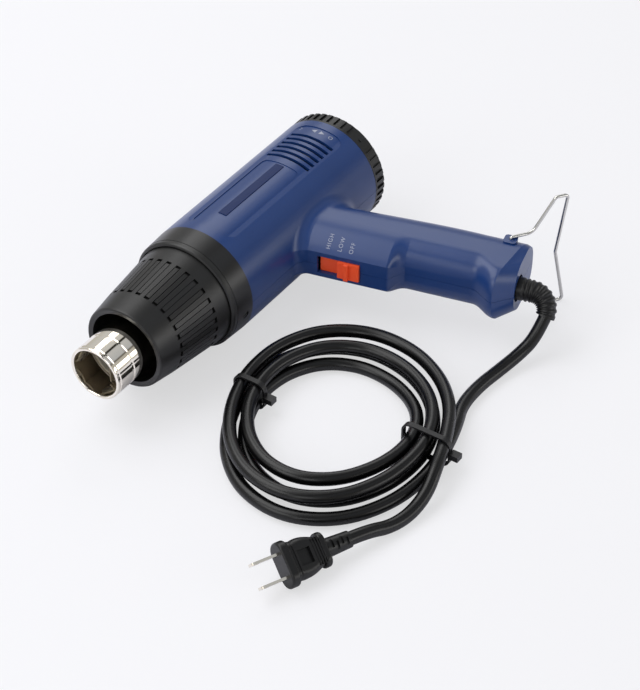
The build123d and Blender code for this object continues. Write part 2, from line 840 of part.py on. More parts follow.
def rectifier_parts():
    """Four diodes and one capacitor on the board."""
    face = board_x() - board_thickness
    diode = block(face - diode_size[0], face, -diode_size[1] / 2, diode_size[1] / 2,
                  diode_place - diode_size[2] / 2, diode_place + diode_size[2] / 2)
    can = Pos(0, 0, -diode_place - can_radius / 2) * rod_x(can_radius, face - can_height, face)
    return [Rot(angle, 0, 0) * diode for angle in (-90, -30, 30, 90)] + [can]


def inlet_grille():
    """Fixed air grille inside the rear of the barrel, with the dial's post."""
    outer = bore_radius - seat_gap / 2
    end = grille_x + grille_thickness
    shape = ring_x(outer, outer - grille_rim, grille_x, end)
    for share in grille_rings_share:
        shape += ring_x(outer * share + arm_width / 2, outer * share - arm_width / 2, grille_x, end)
    arm = block(grille_x, end, -arm_width / 2, arm_width / 2, post_radius / 2, outer - grille_rim / 2)
    shape += around_x(arm, grille_arms)
    post = rod_x(post_radius, grille_x, post_end)
    return shape + post - rod_x(screw_radius, grille_x + arm_width, post_end + cut_over)


def dial_seat():
    """Front face of the dial's hub and shutter, just behind the grille."""
    return grille_x + grille_thickness + seat_gap


def air_dial():
    """Ribbed end cap that turns the shutter."""
    face = dial_end - dial_face
    rim_inner = dial_rear_radius - dial_rim_wall
    outline = [(dial_start, rim_inner), (dial_start, barrel_radius - seat_gap), (dial_start + seat_gap,
                                                                               dial_radius),
               (dial_end - dial_rim_wall / 2, dial_radius), (dial_end, dial_rear_radius),
               (dial_end, 0), (face, 0), (face, rim_inner)]
    cap = turned(outline)
    groove_start = dial_start + dial_lip_length
    groove_length = dial_end - groove_start + cut_over
    groove = Pos(groove_start + groove_length / 2, 0, dial_radius) * Box(groove_length, dial_rib_gap,
                                                                         2 * dial_rib_depth)
    step = 360 / dial_ribs
    angles = [dial_first_angle + step * i for i in range(dial_ribs)]
    grooves = [Rot(90 - angle, 0, 0) * groove for angle in angles
               if not dial_first_angle < angle < pad_end_angle]
    pad_middle = (dial_first_angle + pad_end_angle) / 2
    pad_length = (dial_end - groove_start) / 2
    pointer = Rot(90 - pad_middle, 0, 0) * Pos(groove_start + pad_length, 0, dial_radius) * Box(
        pad_length, pointer_width, 2 * pointer_height)
    slot_length = inlet_slot_outer - inlet_slot_inner
    slot = Pos(face - cut_over, 0, (inlet_slot_outer + inlet_slot_inner) / 2) * Rot(0, 90, 0) * extrude(
        SlotOverall(slot_length, inlet_slot_width), dial_face + 2 * cut_over)
    hub = rod_x(dial_hub_radius, dial_seat(), dial_end)
    bore = rod_x(post_radius + fit_gap, dial_seat() - cut_over, post_end + cut_over)
    pocket = rod_x(screw_head_radius + seat_gap, post_end, dial_end + cut_over)
    cap = cap - dial_cuts(grooves, slot)
    return cap + pointer + hub - bore - pocket


def dial_cuts(grooves, slot):
    """All cuts in the dial's rim and rear face."""
    return grooves + around_x(slot, inlet_slots, first=180 / inlet_slots)


def shutter_disc():
    """Disc with ports that turns with the dial behind the grille."""
    outer = bore_radius - 2 * seat_gap
    disc = ring_x(outer, dial_hub_radius + fit_gap, dial_seat(), dial_seat() + shutter_thickness)
    port = ring_sector(outer - grille_rim, dial_hub_radius + grille_rim, dial_seat() - cut_over,
                       dial_seat() + shutter_thickness + cut_over, port_angle / 2)
    return disc - around_x(port, shutter_ports)


def dial_screw():
    """Screw in the grille's post that keeps the dial on."""
    start = grille_x + arm_width + seat_gap
    head_start = post_end + seat_gap / 2
    head = rod_x(screw_head_radius, head_start, head_start + screw_head_height)
    cross = [Pos(head_start + screw_head_height, 0, 0) * Box(screw_head_height, screw_head_radius,
                                                             screw_radius / 2),
             Pos(head_start + screw_head_height, 0, 0) * Box(screw_head_height, screw_radius / 2,
                                                             screw_head_radius)]
    return rod_x(screw_radius, start, head_start) + head - cross


def switch_slider():
    """Slide plate under the window with its raised thumb piece, at the OFF place."""
    top = -face_inner + plate_gap
    low = top + plate_thickness
    start = window_start + end_gap
    plate = block(top, low, -start - plate_length, -start, -plate_width / 2, plate_width / 2)
    thumb_end = window_start + window_length - seat_gap
    half = window_width / 2 - seat_gap
    thumb = block(-block_reach - thumb_rise, top, -thumb_end, -thumb_end + thumb_length, -half, half)
    ridge_low = -thumb_end + thumb_length - ridge_place
    ridge = block(-block_reach - ridge_rise, top, ridge_low - ridge_length, ridge_low, -half, half)
    return axis_to_centre * (plate + thumb + ridge)


def switch_depths():
    """Front face of the switch body and floor of its track."""
    front = -face_inner + plate_gap + plate_thickness + seat_gap
    return front, front + track_depth


def switch_body():
    """Fixed body of the slide switch, with a track for the moving contact."""
    front, floor = switch_depths()
    body = block(front, front + switch_height, -switch_start - switch_length, -switch_start,
                 -switch_width / 2, switch_width / 2)
    track_start = switch_start + rib_thickness
    track = block(front - cut_over, floor, -switch_start - switch_length + rib_thickness, -track_start,
                  -track_width / 2, track_width / 2)
    return axis_to_centre * (body - track)


def switch_contacts():
    """Bridging contact under the slide plate."""
    front, floor = switch_depths()
    middle = window_start + end_gap + plate_length / 2 + contact_length / 2
    return axis_to_centre * block(front - seat_gap, floor - seat_gap, -middle - contact_length / 2,
                                  -middle + contact_length / 2, -contact_width / 2, contact_width / 2)


def terminal_places():
    """Distances down the handle of the three switch terminals."""
    return [switch_start + switch_length * (i + 1) / 4 for i in range(3)]


def switch_terminals():
    """Three tab terminals on the back of the switch body."""
    back = switch_depths()[0] + switch_height
    return [axis_to_centre * block(back, back + terminal_size[0], -down - terminal_size[1] / 2,
                                   -down + terminal_size[1] / 2, -terminal_size[2] / 2, terminal_size[2] / 2)
            for down in terminal_places()]


def housing_screws():
    """Screws driven from the lower half."""
    solids = []
    head_base = -half_thickness + head_depth
    for place in screw_places:
        head = handle_post(place, case_head_radius, head_base - case_head_height, head_base)
        stem = handle_post(place, case_screw_radius, head_base - case_head_height / 2,
                           case_screw_length - half_thickness - seat_gap)
        cross = [Pos(place[0], -place[1], head_base - case_head_height)
                 * Box(case_head_radius, case_screw_radius / 2, case_head_height),
                 Pos(place[0], -place[1], head_base - case_head_height)
                 * Box(case_screw_radius / 2, case_head_radius, case_head_height)]
        solids.append(axis_to_centre * (head + stem - cross))
    return solids


def bail_wire():
    """Folding wire hanger: one wire from ear to ear, bent out, along and in at its middle."""
    ear_top = half_thickness + ear_rise
    leg = ear_top - bail_leg_depth
    bend_height = ear_top + bail_leg_bend
    top = bail_half_width + bail_lift + bail_top_lift
    low = bail_lift - bail_half_width
    points = [(0, 0, leg), (0, 0, bend_height), (bail_first, 0, bend_height), (bail_top_in, 0, top),
              (bail_top_out, 0, top), (bail_kink, 0, bail_lift), (bail_corner, 0, low),
              (bail_low_in, 0, low), (bail_first, 0, -bend_height), (0, 0, -bend_height), (0, 0, -leg)]
    radii = [bail_leg_bend, 3 * bail_bend, bail_bend, bail_bend, bail_bend, bail_bend, bail_bend,
             3 * bail_bend, bail_leg_bend]
    path = FilletPolyline(*points, radius=radii)
    wire = swept(path, bail_wire_radius)
    return axis_to_centre * Pos(pivot_back, -pivot_down, 0) * Rot(0, 0, bail_angle - lean) * wire


def boot_frame(travel):
    """Place and direction of the strain relief's middle line, after a length of travel from its base."""
    side = Vector(-cos(radians(boot_side)), 0, -sin(radians(boot_side)))
    down = Vector(0, -1, 0)
    base = Vector(boot_place, -handle_length + boot_mouth_depth - seat_gap, 0)
    straight = boot_straight + boot_mouth_depth - seat_gap
    if travel <= straight:
        return base + down * travel, down
    angle = (travel - straight) / boot_bend_radius
    place = base + down * (straight + boot_bend_radius * sin(angle)) + side * (
        boot_bend_radius * (1 - cos(angle)))
    return place, down * cos(angle) + side * sin(angle)


def boot_length():
    """Length of the strain relief's middle line outside the butt."""
    return boot_straight + boot_mouth_depth - seat_gap + boot_bend_radius * radians(boot_bend)


def boot_circle(travel, radius):
    """Section of the strain relief, with its X axis square to the bend's plane all the way."""
    place, heading = boot_frame(travel)
    steady = Vector(-sin(radians(boot_side)), 0, cos(radians(boot_side)))
    return Plane(origin=place, x_dir=steady, z_dir=heading) * Circle(radius)


def strain_relief():
    """Ribbed bend protector, trapped in the butt by its flange."""
    length = boot_length()
    step = (length - boot_collar) / boot_ribs
    sections = [boot_circle(0, boot_base_radius), boot_circle(boot_collar - step / 4, boot_base_radius)]
    for i in range(boot_ribs):
        share = i / (boot_ribs - 1)
        radius = boot_base_radius + (boot_tip_radius - boot_base_radius) * share
        start = boot_collar + step * i
        sections += [boot_circle(start, radius - rib_depth), boot_circle(start + step / 4, radius - rib_depth),
                     boot_circle(start + step / 2, radius)]
        if i < boot_ribs - 1:
            sections.append(boot_circle(start + 3 * step / 4, radius))
    sections.append(boot_circle(length, boot_tip_radius))
    boot = loft(sections, ruled=True)
    neck_start = handle_length - butt_wall - seat_gap
    toward = Plane(origin=(boot_place, -neck_start, 0), z_dir=(0, -1, 0))
    mouth = handle_length - boot_mouth_depth + seat_gap
    neck = toward * extrude(Circle(boot_neck_radius), mouth - neck_start)
    flange = toward * extrude(Circle(boot_flange_radius), -boot_flange_thickness)
    return axis_to_centre * (boot + neck + flange)


def inner_cord_start():
    """Distance down the handle where the cord leaves the strain relief's inner end."""
    return handle_length - butt_wall - seat_gap - boot_flange_thickness


def cord_inner_end():
    """End of the cord inside the handle."""
    start = inner_cord_start()
    plane = Plane(origin=(boot_place, -start, 0), z_dir=(0, 1, 0))
    return axis_to_centre * extrude(plane * Circle(cord_radius), inner_cord_length)


def cord_clamp():
    """Bar that presses the cord onto its saddle."""
    half = boot_flange_radius
    bar = block(boot_place - half, boot_place + half, -clamp_place - clamp_width / 2,
                -clamp_place + clamp_width / 2, cord_radius + fit_gap, cord_radius + fit_gap + clamp_thickness)
    holes = [handle_post((boot_place + side * clamp_screw_spread, clamp_place), clamp_screw_radius + fit_gap,
                         0, half_thickness) for side in (-1, 1)]
    return axis_to_centre * (bar - holes)


def clamp_screws():
    """Two screws of the cord clamp."""
    top = cord_radius + 2 * fit_gap + clamp_thickness
    solids = []
    for side in (-1, 1):
        place = (boot_place + side * clamp_screw_spread, clamp_place)
        head = handle_post(place, clamp_head_share * clamp_screw_radius, top, top + clamp_screw_radius)
        stem = handle_post(place, clamp_screw_radius, -cord_radius + seat_gap, top + clamp_screw_radius / 2)
        solids.append(axis_to_centre * (head + stem))
    return solids


def inner_leads():
    """Two insulated leads from the cord's inner end to the switch, and two on to the heater plate."""
    cord_end = inner_cord_start() - inner_cord_length
    back = switch_depths()[0] + switch_height
    terminals = terminal_places()
    reach = back + terminal_size[0] + lead_wire_radius + seat_gap
    solids = []
    for side in (-1, 1):
        across = side * lead_wire_spread
        low = terminals[2] + 4 * lead_wire_radius
        path = FilletPolyline((boot_place, -cord_end, across), (boot_place, -cord_end + 3 * lead_wire_spread,
                                                                 across),
                              (reach, -low - 2 * lead_wire_spread, across), (reach, -terminals[2], across),
                              radius=3 * lead_wire_radius)
        solids.append(axis_to_centre * swept(path, lead_wire_radius))
    for side in (-1, 1):
        across = side * lead_wire_spread
        start = (axis_to_centre * Pos(reach, -terminals[0], across)).position
        turn = (axis_to_centre * Pos(back, -switch_start + 2 * wall, across)).position
        lane = -(bore_radius - 2 * duct_wall - 2 * lead_wire_radius)
        plate = heater_plate_x + heater_plate + fit_gap
        entry = shoulder_radius - 3 * lead_wire_radius
        path = FilletPolyline(start, turn, (turn.X - 2 * wall, lane, across),
                              (collar_lip_length + 2 * wall, lane, across),
                              (collar_lip_length, -entry, across), (plate, -entry, across),
                              radius=3 * lead_wire_radius)
        solids.append(swept(path, lead_wire_radius))
    return solids


def coil_point(turn):
    """Middle line of the coil after a number of turns, clockwise from above, in and out in two layers."""
    angle = radians(coil_start_angle - 360 * turn)
    across = angle - radians(coil_tilt)
    outer = coil_long_radius * coil_short_radius / hypot(coil_short_radius * cos(across),
                                                         coil_long_radius * sin(across))
    for size, direction in coil_bulges:
        outer += size * max(0.0, cos(angle - radians(direction))) ** 2
    lane = min(turn, cord_turns - turn)
    step = lane_step + lane_fan * cos(angle - radians(lane_fan_angle)) ** 2
    climb = min(1.0, max(0.0, (turn - cord_turns / 2 + 0.25) / 0.5))
    climb = climb * climb * (3 - 2 * climb)
    radius = outer - step * lane
    height = cord_radius + coil_climb * climb + tie_lift * sin(angle) ** 2
    return Vector(coil_centre[0] + radius * cos(angle), coil_centre[1] + radius * sin(angle), height)


def coil_heading(turn):
    """Direction of the coil's middle line, smoothed over the reversal."""
    reach = 0.02
    return (coil_point(min(turn + reach, cord_turns)) - coil_point(max(turn - reach, 0))).normalized()


def arc_middle(start, corner, end):
    """Middle of the arc that is tangent to two equal lines from a corner."""
    weight = ((corner - start).normalized()).dot((end - start).normalized())
    return (start + end + corner * (2 * weight)) * (1 / (2 * (1 + weight)))


def biarc(start, start_heading, end, end_heading):
    """Two tangent arcs between two places with given directions, as (start, middle, end) points."""
    chord = end - start
    turn = 2 * (1 - start_heading.dot(end_heading))
    along = chord.dot(start_heading + end_heading)
    reach = (-along + sqrt(along * along + turn * chord.dot(chord))) / turn
    first_corner = start + start_heading * reach
    last_corner = end - end_heading * reach
    joint = (first_corner + last_corner) * 0.5
    return [(start, arc_middle(start, first_corner, joint), joint),
            (joint, arc_middle(joint, last_corner, end), end)]


def coil_arcs():
    """Arcs of the coil, two for each quarter turn."""
    arcs = []
    for i in range(4 * cord_turns):
        now = i / 4
        then = (i + 1) / 4
        arcs += biarc(coil_point(now), coil_heading(now), coil_point(then), coil_heading(then))
    return arcs


def coil_ends():
    """Ends of the coil's straight starts, one diameter before and after its arcs."""
    return (coil_point(0) - coil_heading(0) * cord_diameter,
            coil_point(cord_turns) + coil_heading(cord_turns) * cord_diameter)


def coil_edges():
    """Whole path of the coil: a straight end, the arcs and a straight end."""
    start, end = coil_ends()
    edges = [Line(start, coil_point(0))]
    edges += [ThreePointArc(*arc) for arc in coil_arcs()]
    edges.append(Line(coil_point(cord_turns), end))
    return edges


def cord_coil():
    """The coil as one unbroken tube."""
    return swept(Wire(coil_edges()), cord_radius)


def least_coil_gap():
    """Least gap between the coil's tube and itself, measured on points along its arcs."""
    points = []
    travel = 0.0
    for edge in coil_edges():
        count = ceil(edge.length / (cord_radius / 2))
        points += [(travel + edge.length * i / count, edge @ (i / count)) for i in range(count)]
        travel += edge.length
    least = travel
    for i, (here, place) in enumerate(points):
        for there, other in points[i + 1:]:
            if there - here > 4 * cord_diameter:
                least = min(least, (place - other).length - cord_diameter)
    return least


def tip_of_boot():
    """End of the strain relief in the tool's frame."""
    place, heading = boot_frame(boot_length())
    end = axis_to_centre * Pos(*place)
    ahead = axis_to_centre * Pos(*(place + heading))
    return end.position, (ahead.position - end.position).normalized()


def lead_route(shift):
    """Free cord from the strain relief down to the floor and on to the coil."""
    tip, heading = tip_of_boot()
    tip = tip + shift
    entry = coil_ends()[0]
    return [tip, tip + heading * boot_run, (53.5, -104.4, 7.4), (38.5, -100.4, 4.2), (20.0, -97.6, 3.9),
            (1.0, -98.4, 3.9), entry - coil_heading(0) * coil_run, entry]


def tail_route():
    """Free cord from the coil to the plug."""
    end = coil_ends()[1]
    relief = plug_plane() * Pos(0, 0, -plug_relief_end())
    stop = relief.position
    return [end, (-57.0, -118.0, 13.2), (-72.5, -121.8, 8.0), (-87.5, -121.0, 4.2), (-101.5, -117.2, 4.2),
            stop - plug_direction() * plug_run, stop]


def tube_path(points):
    """Straight runs joined by arcs as large as their runs allow, and the radii of the arcs."""
    points = [Vector(*point) if isinstance(point, tuple) else point for point in points]
    radii = []
    for before, here, after in zip(points, points[1:], points[2:]):
        turn = radians((here - before).get_angle(after - here))
        shorter = min((here - before).length, (after - here).length)
        radii.append(0.45 * shorter / tan(turn / 2))
    return FilletPolyline(*points, radius=radii), radii


def cord_tube(name, points):
    """Free stretch of the cord, with its radii and volume printed."""
    path, radii = tube_path(points)
    tube = swept(path, cord_radius)
    section = Circle(cord_radius).area
    print(name, "radii", [round(radius) for radius in radii], "length", round(path.length, 1),
          "volume share", round(tube.volume / (section * path.length), 4))
    return tube


def tie_span(x, side):
    """Room that the coil's cords take where they cross a tie, as low and high places across and up."""
    crossing = []
    for edge in coil_edges():
        count = ceil(edge.length / cord_radius)
        places = [edge @ (i / count) for i in range(count + 1)]
        crossing += [place for place in places
                     if abs(place.X - x) < tie_width and side * (place.Y - coil_centre[1]) > 0]
    across = [place.Y for place in crossing]
    heights = [place.Z for place in crossing]
    reach = cord_radius + tie_slack
    return (min(across) - reach, max(across) + reach, min(heights) - cord_radius - seat_gap,
            max(heights) + cord_radius + seat_gap)


def tie(x, side):
    """Tie band round the coil's cords, with its buckle at the end nearest the plug."""
    near, far, low, high = tie_span(x, side)
    width = far - near
    height = high - low
    middle = Vector(x, (near + far) / 2, (low + high) / 2)
    plane = Plane(origin=middle, x_dir=(0, 1, 0), z_dir=(1, 0, 0))
    outer = RectangleRounded(width + 2 * tie_thickness, height + 2 * tie_thickness,
                             tie_corner + tie_thickness)
    band = extrude(plane * (outer - RectangleRounded(width, height, tie_corner)), tie_width / 2, both=True)
    buckle_y = middle.Y - (width / 2 + tie_thickness + buckle_size[1] / 2 - fit_gap)
    return band + Pos(x, buckle_y, middle.Z) * Box(*buckle_size)


def plug_direction():
    """Direction from the plug's relief to its blades."""
    heading = radians(plug_heading)
    pitch = radians(plug_pitch)
    return Vector(cos(heading) * cos(pitch), sin(heading) * cos(pitch), sin(pitch))


def plug_plane():
    """Frame of the plug: z out of its face, x between the blades, y out of its recessed side."""
    heading = plug_direction()
    level = Vector(sin(radians(plug_heading)), -cos(radians(plug_heading)), 0)
    spread = level * cos(radians(plug_roll)) + level.cross(heading) * sin(radians(plug_roll))
    return Plane(origin=plug_face_centre, x_dir=-spread, z_dir=heading).location


def plug_flange_start():
    """Distance behind the face where the plug's flange starts."""
    return plate_deep + groove_deep + body_deep


def plug_relief_end():
    """Distance behind the face where the plug's strain relief ends."""
    return plug_flange_start() + plug_flange_deep + relief_length


def plug_slab(size, corner, start, deep):
    """Rounded slab of the plug between two distances behind its face."""
    return Pos(0, 0, -start - deep) * extrude(RectangleRounded(*size, corner), deep)


def plug_body():
    """Moulded plug: face plate, groove, tapering body with a recess and thin ribs, and a flange."""
    body_start = plate_deep + groove_deep
    plate = plug_slab(plate_size, plate_corner, 0, plate_deep)
    shape = fillet(plate.edges().group_by(Axis.Z)[0] + plate.edges().group_by(Axis.Z)[-1], plate_round)
    shape += plug_slab(waist_size, plate_corner - plate_round, plate_deep, groove_deep)
    sections = []
    for width_share, place_share in body_shares:
        size = (body_size[0] * width_share, body_size[1] + (body_taper_size[1] - body_size[1]) * place_share)
        sections.append(Pos(0, 0, -body_start - body_deep * place_share)
                        * RectangleRounded(*size, min(size) / 3))
    shape += loft(sections)
    flange = plug_slab(plug_flange_size, plug_flange_corner, plug_flange_start(), plug_flange_deep)
    shape += fillet(flange.edges().group_by(Axis.Z)[0] + flange.edges().group_by(Axis.Z)[-1], plate_round)
    top = body_size[1] / 2
    socket_middle = body_start + body_deep / 3
    shape -= Pos(0, top, -socket_middle) * Box(socket_size[0], 2 * socket_deep, socket_size[1])
    for i in range(plug_rib_count):
        place = plug_flange_start() - plug_rib_width * (2 * i + 1)
        shape += Pos(0, 0, -place) * Box(body_taper_size[0], body_taper_size[1] + 2 * plug_rib_rise,
                                         plug_rib_width)
    for side in (-1, 1):
        shape -= Pos(side * blade_spacing / 2, 0, -blade_root / 2) * Box(
            blade_sheet + 2 * fit_gap, blade_width + 2 * fit_gap, blade_root)
    return plug_plane() * shape


def plug_blades():
    """Two flat blades with holes near their tips."""
    solids = []
    for side in (-1, 1):
        blade = Pos(side * blade_spacing / 2, 0, -blade_root) * extrude(
            Rectangle(blade_sheet, blade_width), blade_root + blade_length)
        tip = blade.edges().filter_by(Axis.X).group_by(Axis.Z)[-1]
        blade = fillet(tip, blade_width / 3)
        hole = Pos(side * blade_spacing / 2, 0, blade_length - blade_hole_inset) * Rot(0, 90, 0) * Cylinder(
            blade_hole_radius, 2 * blade_sheet)
        solids.append(plug_plane() * (blade - hole))
    return solids


def plug_strain_relief():
    """Slotted relief between the plug's flange and the cord."""
    start = plug_flange_start() + plug_flange_deep
    end = start + relief_length
    relief = loft([Pos(0, 0, -start) * Circle(relief_start_radius), Pos(0, 0, -end) * Circle(relief_end_radius)],
                  ruled=True)
    step = relief_length / (relief_slots + 1)
    for i in range(relief_slots):
        side = 1 if i % 2 else -1
        place = start + step * (i + 1)
        outer = relief_start_radius
        for face in (-1, 1):
            relief -= Pos(side * outer / 2, face * outer, -place) * Box(1.5 * outer, 2 * relief_slot_deep,
                                                                        relief_slot_width)
    return plug_plane() * relief


def make_tool():
    """Every piece of the tool, by node name, in the tool's frame."""
    upper, lower = housing_halves()
    pieces = {"housing_upper": upper, "housing_lower": lower}
    makers = [badge_strip, nose_collar, collar_screws, heat_guard, nozzle_tube, insulating_sleeve,
              heater_former, heating_coil, heater_flange, thermal_cutoff, fan_duct, motor_can,
              motor_end_cap, motor_bushes, motor_magnets, rotor_core, motor_shaft, impeller,
              rectifier_board, rectifier_parts, inlet_grille, air_dial, shutter_disc, dial_screw,
              switch_slider, switch_body, switch_contacts, switch_terminals, housing_screws, bail_wire,
              strain_relief, cord_inner_end, cord_clamp, clamp_screws, inner_leads]
    for maker in makers:
        pieces[maker.__name__] = maker()
    return pieces


def solids_of(shape):
    """All solids of a shape or list of shapes."""
    if isinstance(shape, (list, tuple)):
        return [solid for item in shape for solid in solids_of(item)]
    return list(shape.solids())


def tool_shift(pieces):
    """Shift that puts the tool's box on the floor with its middle over the origin."""
    held_cord = ("strain_relief", "cord_inner_end")
    boxes = [solid.bounding_box() for name, shape in pieces.items() if name not in held_cord
             for solid in solids_of(shape)]
    low = [min(tuple(box.min)[k] for box in boxes) for k in range(3)]
    high = [max(tuple(box.max)[k] for box in boxes) for k in range(3)]
    return Vector(-(low[0] + high[0]) / 2, -(low[1] + high[1]) / 2, -low[2])


os.makedirs("parts", exist_ok=True)
tool = make_tool()
shift = tool_shift(tool)
print("shift of the tool", [round(value, 3) for value in shift])
nodes = {name: [Pos(*shift) * solid for solid in solids_of(shape)] for name, shape in tool.items()}
nodes["cord_lead"] = solids_of(cord_tube("lead", lead_route(shift)))
nodes["cord_coil"] = solids_of(cord_coil())
nodes["cord_tail"] = solids_of(cord_tube("tail", tail_route()))
nodes["tie_right"] = solids_of(tie(tie_right_x, -1))
nodes["tie_left"] = solids_of(tie(tie_left_x, 1))
nodes["plug_body"] = solids_of(plug_body())
nodes["plug_blades"] = solids_of(plug_blades())
nodes["plug_strain_relief"] = solids_of(plug_strain_relief())
coil_length = sum(edge.length for edge in coil_edges())
print("coil length", round(coil_length, 1), "least gap", round(least_coil_gap(), 2),
      "tightest arc", round(min(edge.radius for edge in coil_edges()[1:-1]), 1))
for name, solids in nodes.items():
    export_step(Compound(children=solids) if len(solids) > 1 else solids[0], f"parts/{name}.step")
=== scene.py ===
# %% [markdown]
# # An embossing heat tool on its side
# The real object is a small pistol-shaped hot-air tool of moulded plastic with a chrome outlet. It
# lies on a pale table, its cord laid in a loose coil in front of it.
# Its hard shapes come ready-made from a CAD model, the frame, so nothing has to be fitted by eye.
# This lesson gives them their finishes, and makes what a CAD solid can't show well: a cord that lies
# under its own weight, printed marks, the worn and moulded grain of each plastic, and the light.

from math import radians

import bpy
import numpy as np
from mathutils import Matrix, Vector


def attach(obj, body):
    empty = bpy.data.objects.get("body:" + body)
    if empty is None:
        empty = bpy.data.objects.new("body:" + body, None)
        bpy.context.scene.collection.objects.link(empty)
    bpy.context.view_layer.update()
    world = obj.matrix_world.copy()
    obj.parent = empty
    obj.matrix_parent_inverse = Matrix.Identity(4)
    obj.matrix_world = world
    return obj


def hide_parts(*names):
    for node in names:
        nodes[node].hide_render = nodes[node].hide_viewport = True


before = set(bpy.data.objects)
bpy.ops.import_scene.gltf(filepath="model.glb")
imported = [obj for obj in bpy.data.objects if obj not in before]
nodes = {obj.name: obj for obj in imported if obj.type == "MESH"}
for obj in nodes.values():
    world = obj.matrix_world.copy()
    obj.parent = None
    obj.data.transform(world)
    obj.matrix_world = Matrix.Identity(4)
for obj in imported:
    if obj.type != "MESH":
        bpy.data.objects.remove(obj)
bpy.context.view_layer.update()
print("nodes in the frame:", len(nodes))

# %% [markdown]
# Everything is in metres, and real sizes of such a tool are easier to read in millimetres, so one
# value turns them. The barrel runs along X. The tool's own zero lies on the barrel's axis where the
# blue housing begins, and one vector brings places on the tool into the frame.

# %% Sizes that several steps share
mm = 0.001
tool_zero = np.array([-20.492, 61.717, 35.3])
cord_diameter = 7.6
cord_radius = cord_diameter / 2
print("barrel axis height, mm:", tool_zero[2])

# %% [markdown]
# The camera comes first, because the cord is laid for its view. A product photograph like this one is
# taken from about a metre and a quarter with a long lens, which keeps the barrel from looking
# stretched. The picture is 640 by 690, and the sensor's 36 mm go with its longer side.

# %% Camera
camera_place = Vector((-829.5, -565.7, 843.8)) * mm
camera_target = Vector((-30.3, -25.4, 35.3)) * mm
camera_data = bpy.data.cameras.new("camera")
camera_data.sensor_fit = "AUTO"
camera_data.sensor_width = 36.0
camera_data.lens = 119.8
camera = bpy.data.objects.new("camera", camera_data)
bpy.context.scene.collection.objects.link(camera)
camera.location = camera_place
camera.rotation_euler = (camera_place - camera_target).to_track_quat("Z", "Y").to_euler()
bpy.context.scene.camera = camera
print("camera distance, m:", round((camera_place - camera_target).length, 3))

# %% [markdown]
# The cord is a round jacket 7.6 mm thick. It drops out of its strain relief to the table, makes four
# loose turns in two layers, and ends in the plug. A mains cord bends in smooth curves, so its line is
# one NURBS spline, and the points below are its control points. Each point carries the jacket's radius,
# and the bevel is one metre times that, so the curve's box stays as large as the cord.
# The turns are an ellipse with three soft bulges. Each turn lies a little inside the last for two
# turns, then climbs on top and comes back out. Such a spline runs just inside its control points, so
# their radius is a little larger than the cord's own.

# %% Line of the cord
coil_centre = np.array([-52.0, -47.0])
coil_turns = 4
points_per_turn = 16
coil_long_radius = 76.0
coil_short_radius = 60.5
coil_lean = 22.3
coil_start_angle = -75.0
coil_bulges = ((4.0, -60.0), (-3.0, 100.0), (3.0, -170.0))
lane_step = 8.8
lane_swell = 5.5
lane_swell_angle = 20.0
layer_climb = 8.1
climb_turns = 0.5
tie_lift = 1.6
lead_points = [(71.57, -109.75, 25.14), (63.71, -108.51, 14.24), (53.5, -104.4, 7.4), (38.5, -100.4, 4.2),
               (20.0, -97.6, 3.9), (1.0, -98.4, 3.9), (-15.16, -105.03, 5.1)]
tail_points = [(-57.0, -118.0, 13.2), (-72.5, -121.8, 8.0), (-87.5, -121.0, 4.2), (-101.5, -117.2, 4.2),
               (-113.3, -111.44, 7.75), (-124.34, -106.81, 8.54)]


def coil_line(turn):
    """Points of the coil after whole arrays of turns: an ellipse's radius plus bulges that fade with the
    squared cosine, less a lane step that grows to mid-way and shrinks again, and a smooth climb."""
    angle = np.radians(coil_start_angle - 360 * turn)
    across = angle - np.radians(coil_lean)
    radius = coil_long_radius * coil_short_radius / np.hypot(coil_short_radius * np.cos(across),
                                                             coil_long_radius * np.sin(across))
    for size, direction in coil_bulges:
        radius = radius + size * np.clip(np.cos(angle - np.radians(direction)), 0, None) ** 2
    lane = np.minimum(turn, coil_turns - turn)
    radius = radius - (lane_step + lane_swell * np.cos(angle - np.radians(lane_swell_angle)) ** 2) * lane
    climb = np.clip((turn - coil_turns / 2 + climb_turns / 2) / climb_turns, 0, 1)
    climb = climb * climb * (3 - 2 * climb)
    height = cord_radius + layer_climb * climb + tie_lift * np.sin(angle) ** 2
    pulled_in = (3 + np.cos(2 * np.pi / points_per_turn)) / 4
    radius = radius / pulled_in
    return np.stack([coil_centre[0] + radius * np.cos(angle),
                     coil_centre[1] + radius * np.sin(angle), height], axis=-1)


coil_points = coil_line(np.arange(coil_turns * points_per_turn + 1) / points_per_turn)
cord_points = np.concatenate([lead_points, coil_points, tail_points]) * mm
print("control points of the cord:", len(cord_points))

# %% Cord as a curve
cord_curve = bpy.data.curves.new("cord", "CURVE")
cord_curve.dimensions = "3D"
cord_curve.bevel_depth = 1.0
cord_curve.bevel_resolution = 6
cord_curve.use_fill_caps = True
cord_spline = cord_curve.splines.new("NURBS")
cord_spline.points.add(len(cord_points) - 1)
cord_spline.points.foreach_set("co", np.column_stack([cord_points, np.ones(len(cord_points))]).ravel())
cord_spline.points.foreach_set("radius", np.full(len(cord_points), cord_radius * mm))
cord_spline.order_u = 3
cord_spline.use_endpoint_u = True
cord_spline.resolution_u = 8
cord = bpy.data.objects.new("cord", cord_curve)
bpy.context.scene.collection.objects.link(cord)
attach(cord, "tool")
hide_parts("cord_lead", "cord_coil", "cord_tail")

# %% [markdown]
# A material is a small graph of nodes. Two helpers keep the graphs short: one turns a colour as it is
# picked on a screen into the linear light that a shader works in, and one adds a node, sets its
# sockets or settings by name, and links what is given as another node's output.

# %% Helpers for materials


